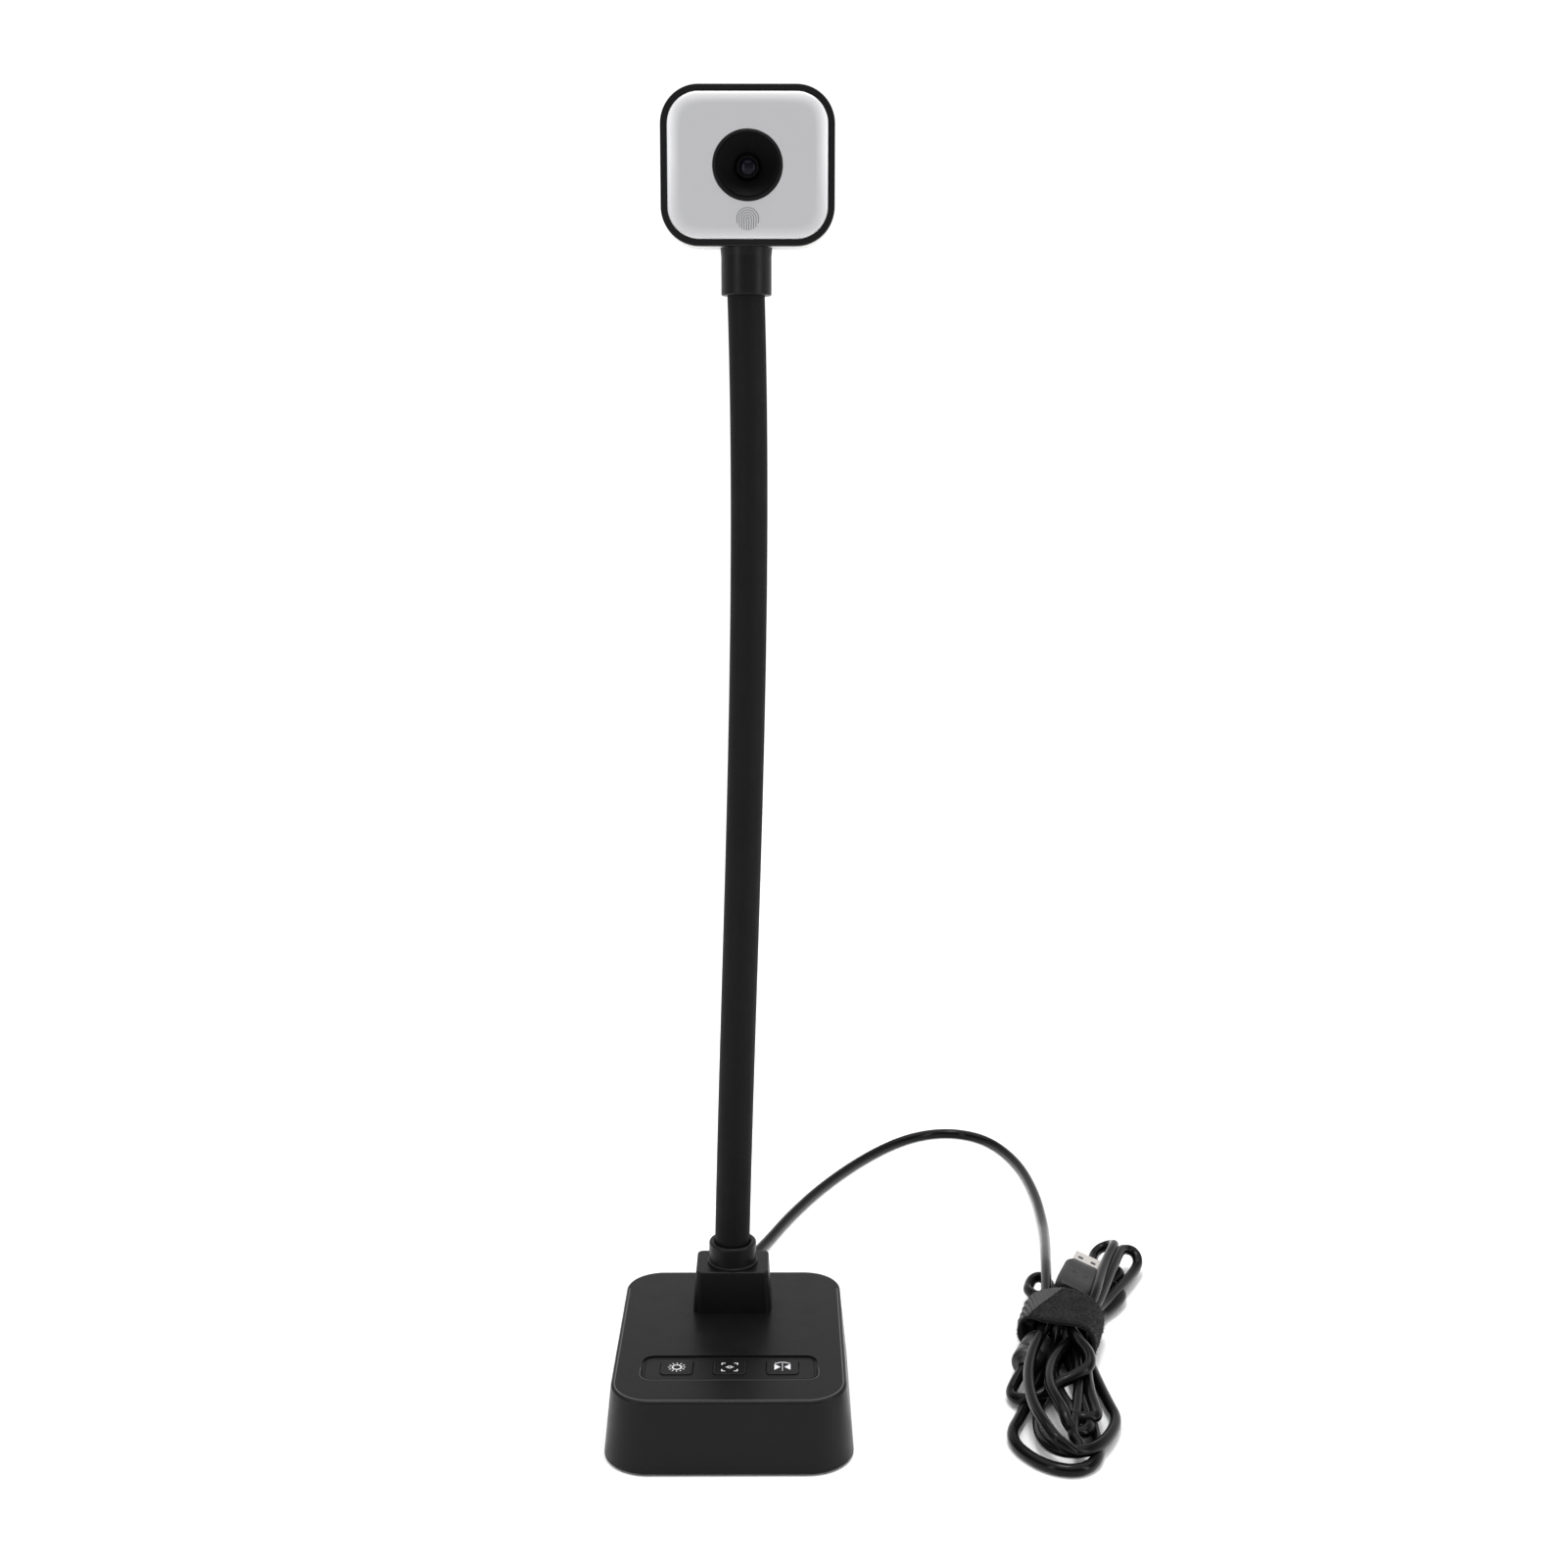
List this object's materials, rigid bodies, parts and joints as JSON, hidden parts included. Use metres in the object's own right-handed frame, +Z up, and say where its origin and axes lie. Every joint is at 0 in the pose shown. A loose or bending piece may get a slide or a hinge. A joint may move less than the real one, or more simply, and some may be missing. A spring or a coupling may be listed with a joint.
{
  "type": "document camera",
  "caption": "Desktop document camera: a weighted base with soft keys, a bendable gooseneck, a square head with a ring light and lens, and a tied USB lead.",
  "frame": {"origin": "centre of the base, on the surface that it stands on", "axes": "+Z up the neck, +X to the right, -Y the way the lens and the keys face"},
  "size_m": [0.2337, 0.3328, 0.4966],
  "materials": {
    "casing": "satin, fine spark-eroded texture",
    "closure": "matte",
    "bezel": "satin",
    "lens_black": "dead matte",
    "feet_rubber": "matte",
    "steel": "zinc plated",
    "plated_steel": "nickel plated",
    "neck_rubber": "matte, faint bloom",
    "shell_white": "satin",
    "diffuser": "milky, soft gloss",
    "circuit_board": "solder mask",
    "component_black": "matte",
    "component_cream": "matte",
    "copper": "bare foil",
    "cord_jacket": "satin",
    "suppressor": "matte",
    "strap_cloth": "hook and loop pile",
    "plug_black": "fine matte",
    "plug_metal": "nickel plated"
  },
  "bodies": {
    "base": {"base_cover": "casing", "base_plate": "closure", "rubber_feet": "feet_rubber", "base_screws": "steel", "counterweight": "steel", "control_panel": "casing", "button_board": "circuit_board", "button_switches": "component_black", "board_connectors": "component_cream", "board_screws": "steel", "neck_pedestal": "casing", "lower_collar": "casing", "neck_lower_fitting": "plated_steel", "neck_lower_nut": "plated_steel", "base_harness": "cord_jacket", "usb_lead_inside": "cord_jacket", "cable_strain_relief": "cord_jacket", "cable_tube": "cord_jacket", "cable_hank": "cord_jacket", "cable_strap": "strap_cloth", "ferrite_core": "suppressor", "usb_plug_grip": "plug_black", "usb_plug_shell": "plug_metal", "usb_plug_tongue": "component_cream"},
    "neck_link_01": {"neck_link_01": "neck_rubber"},
    "neck_link_02": {"neck_link_02": "neck_rubber"},
    "neck_link_03": {"neck_link_03": "neck_rubber"},
    "neck_link_04": {"neck_link_04": "neck_rubber"},
    "neck_link_05": {"neck_link_05": "neck_rubber"},
    "neck_link_06": {"neck_link_06": "neck_rubber"},
    "neck_link_07": {"neck_link_07": "neck_rubber"},
    "neck_link_08": {"neck_link_08": "neck_rubber"},
    "neck_link_09": {"neck_link_09": "neck_rubber"},
    "neck_link_10": {"neck_link_10": "neck_rubber"},
    "neck_link_11": {"neck_link_11": "neck_rubber"},
    "neck_link_12": {"neck_link_12": "neck_rubber"},
    "neck_link_13": {"neck_link_13": "neck_rubber"},
    "neck_link_14": {"neck_link_14": "neck_rubber"},
    "neck_link_15": {"neck_link_15": "neck_rubber"},
    "neck_link_16": {"neck_link_16": "neck_rubber"},
    "neck_link_17": {"neck_link_17": "neck_rubber"},
    "head": {"neck_upper_fitting": "plated_steel", "upper_collar": "casing", "neck_upper_nut": "plated_steel", "head_bezel": "bezel", "head_rear_shell": "shell_white", "light_diffuser": "diffuser", "lens_trim_ring": "bezel", "lens_cone": "lens_black", "camera_board": "circuit_board", "image_sensor": "component_black", "focus_actuator": "lens_black", "led_board": "circuit_board", "leds": "component_cream", "touch_pad": "copper", "head_screws": "steel"},
    "lens": {"lens_barrel": "lens_black"},
    "brightness_button": {"brightness_button": "casing"},
    "focus_button": {"focus_button": "casing"},
    "mirror_button": {"mirror_button": "casing"}
  },
  "joints": [
    {"name": "neck_lower_pitch", "type": "hinge", "parent": "base", "child": "neck_link_01", "pos_m": [0, 0.0265, 0.058], "axis": [1, 0, 0], "range_deg": [-5, 10]},
    {"name": "neck_lower_pitch_2", "type": "hinge", "parent": "neck_link_01", "child": "neck_link_02", "pos_m": [0.00056, 0.02638, 0.07912], "axis": [1, 0, 0], "range_deg": [-5, 10]},
    {"name": "neck_side_bend", "type": "hinge", "parent": "neck_link_02", "child": "neck_link_03", "pos_m": [0.00118, 0.02627, 0.10024], "axis": [0, 1, 0], "range_deg": [-6, 6]},
    {"name": "neck_lower_pitch_3", "type": "hinge", "parent": "neck_link_03", "child": "neck_link_04", "pos_m": [0.00184, 0.02615, 0.12135], "axis": [1, 0, 0], "range_deg": [-5, 10]},
    {"name": "neck_lower_pitch_4", "type": "hinge", "parent": "neck_link_04", "child": "neck_link_05", "pos_m": [0.00253, 0.02603, 0.14247], "axis": [1, 0, 0], "range_deg": [-5, 10]},
    {"name": "neck_side_bend_2", "type": "hinge", "parent": "neck_link_05", "child": "neck_link_06", "pos_m": [0.00323, 0.02591, 0.16359], "axis": [0, 1, 0], "range_deg": [-6, 6]},
    {"name": "neck_lower_pitch_5", "type": "hinge", "parent": "neck_link_06", "child": "neck_link_07", "pos_m": [0.00393, 0.02579, 0.18471], "axis": [1, 0, 0], "range_deg": [-5, 10]},
    {"name": "neck_lower_pitch_6", "type": "hinge", "parent": "neck_link_07", "child": "neck_link_08", "pos_m": [0.00461, 0.02568, 0.20582], "axis": [1, 0, 0], "range_deg": [-5, 10]},
    {"name": "neck_side_bend_3", "type": "hinge", "parent": "neck_link_08", "child": "neck_link_09", "pos_m": [0.00525, 0.02556, 0.22694], "axis": [0, 1, 0], "range_deg": [-6, 6]},
    {"name": "neck_upper_pitch", "type": "hinge", "parent": "neck_link_09", "child": "neck_link_10", "pos_m": [0.00583, 0.02544, 0.24806], "axis": [1, 0, 0], "range_deg": [-10, 15]},
    {"name": "neck_upper_pitch_2", "type": "hinge", "parent": "neck_link_10", "child": "neck_link_11", "pos_m": [0.00635, 0.02532, 0.26918], "axis": [1, 0, 0], "range_deg": [-10, 15]},
    {"name": "neck_side_bend_4", "type": "hinge", "parent": "neck_link_11", "child": "neck_link_12", "pos_m": [0.00678, 0.02521, 0.29029], "axis": [0, 1, 0], "range_deg": [-6, 6]},
    {"name": "neck_upper_pitch_3", "type": "hinge", "parent": "neck_link_12", "child": "neck_link_13", "pos_m": [0.0071, 0.02509, 0.31141], "axis": [1, 0, 0], "range_deg": [-10, 15]},
    {"name": "neck_upper_pitch_4", "type": "hinge", "parent": "neck_link_13", "child": "neck_link_14", "pos_m": [0.00731, 0.02497, 0.33253], "axis": [1, 0, 0], "range_deg": [-10, 15]},
    {"name": "neck_side_bend_5", "type": "hinge", "parent": "neck_link_14", "child": "neck_link_15", "pos_m": [0.00738, 0.02485, 0.35365], "axis": [0, 1, 0], "range_deg": [-6, 6]},
    {"name": "neck_upper_pitch_5", "type": "hinge", "parent": "neck_link_15", "child": "neck_link_16", "pos_m": [0.00729, 0.02474, 0.37477], "axis": [1, 0, 0], "range_deg": [-10, 15]},
    {"name": "neck_upper_pitch_6", "type": "hinge", "parent": "neck_link_16", "child": "neck_link_17", "pos_m": [0.00704, 0.02462, 0.39588], "axis": [1, 0, 0], "range_deg": [-10, 15]},
    {"name": "neck_side_bend_6", "type": "hinge", "parent": "neck_link_17", "child": "head", "pos_m": [0.0066, 0.0245, 0.417], "axis": [0, 1, 0], "range_deg": [-6, 6]},
    {"name": "brightness_button_press", "type": "slide", "parent": "base", "child": "brightness_button", "axis": [0, 0, -1], "range_m": [0, 0.0005], "stiffness_N_per_m": 600, "springref_m": -0.0005},
    {"name": "focus_button_press", "type": "slide", "parent": "base", "child": "focus_button", "axis": [0, 0, -1], "range_m": [0, 0.0005], "stiffness_N_per_m": 600, "springref_m": -0.0005},
    {"name": "mirror_button_press", "type": "slide", "parent": "base", "child": "mirror_button", "axis": [0, 0, -1], "range_m": [0, 0.0005], "stiffness_N_per_m": 600, "springref_m": -0.0005},
    {"name": "lens_focus", "type": "slide", "parent": "head", "child": "lens", "axis": [0, -1, 0], "range_m": [0, 0.00035], "stiffness_N_per_m": 120, "springref_m": -0.0003}
  ],
  "couplings": [
    {"joint": "neck_lower_pitch_2", "follows": "neck_lower_pitch", "ratio": 1},
    {"joint": "neck_lower_pitch_3", "follows": "neck_lower_pitch", "ratio": 1},
    {"joint": "neck_lower_pitch_4", "follows": "neck_lower_pitch", "ratio": 1},
    {"joint": "neck_side_bend_2", "follows": "neck_side_bend", "ratio": 1},
    {"joint": "neck_lower_pitch_5", "follows": "neck_lower_pitch", "ratio": 1},
    {"joint": "neck_lower_pitch_6", "follows": "neck_lower_pitch", "ratio": 1},
    {"joint": "neck_side_bend_3", "follows": "neck_side_bend", "ratio": 1},
    {"joint": "neck_upper_pitch_2", "follows": "neck_upper_pitch", "ratio": 1},
    {"joint": "neck_side_bend_4", "follows": "neck_side_bend", "ratio": 1},
    {"joint": "neck_upper_pitch_3", "follows": "neck_upper_pitch", "ratio": 1},
    {"joint": "neck_upper_pitch_4", "follows": "neck_upper_pitch", "ratio": 1},
    {"joint": "neck_side_bend_5", "follows": "neck_side_bend", "ratio": 1},
    {"joint": "neck_upper_pitch_5", "follows": "neck_upper_pitch", "ratio": 1},
    {"joint": "neck_upper_pitch_6", "follows": "neck_upper_pitch", "ratio": 1},
    {"joint": "neck_side_bend_6", "follows": "neck_side_bend", "ratio": 1}
  ]
}
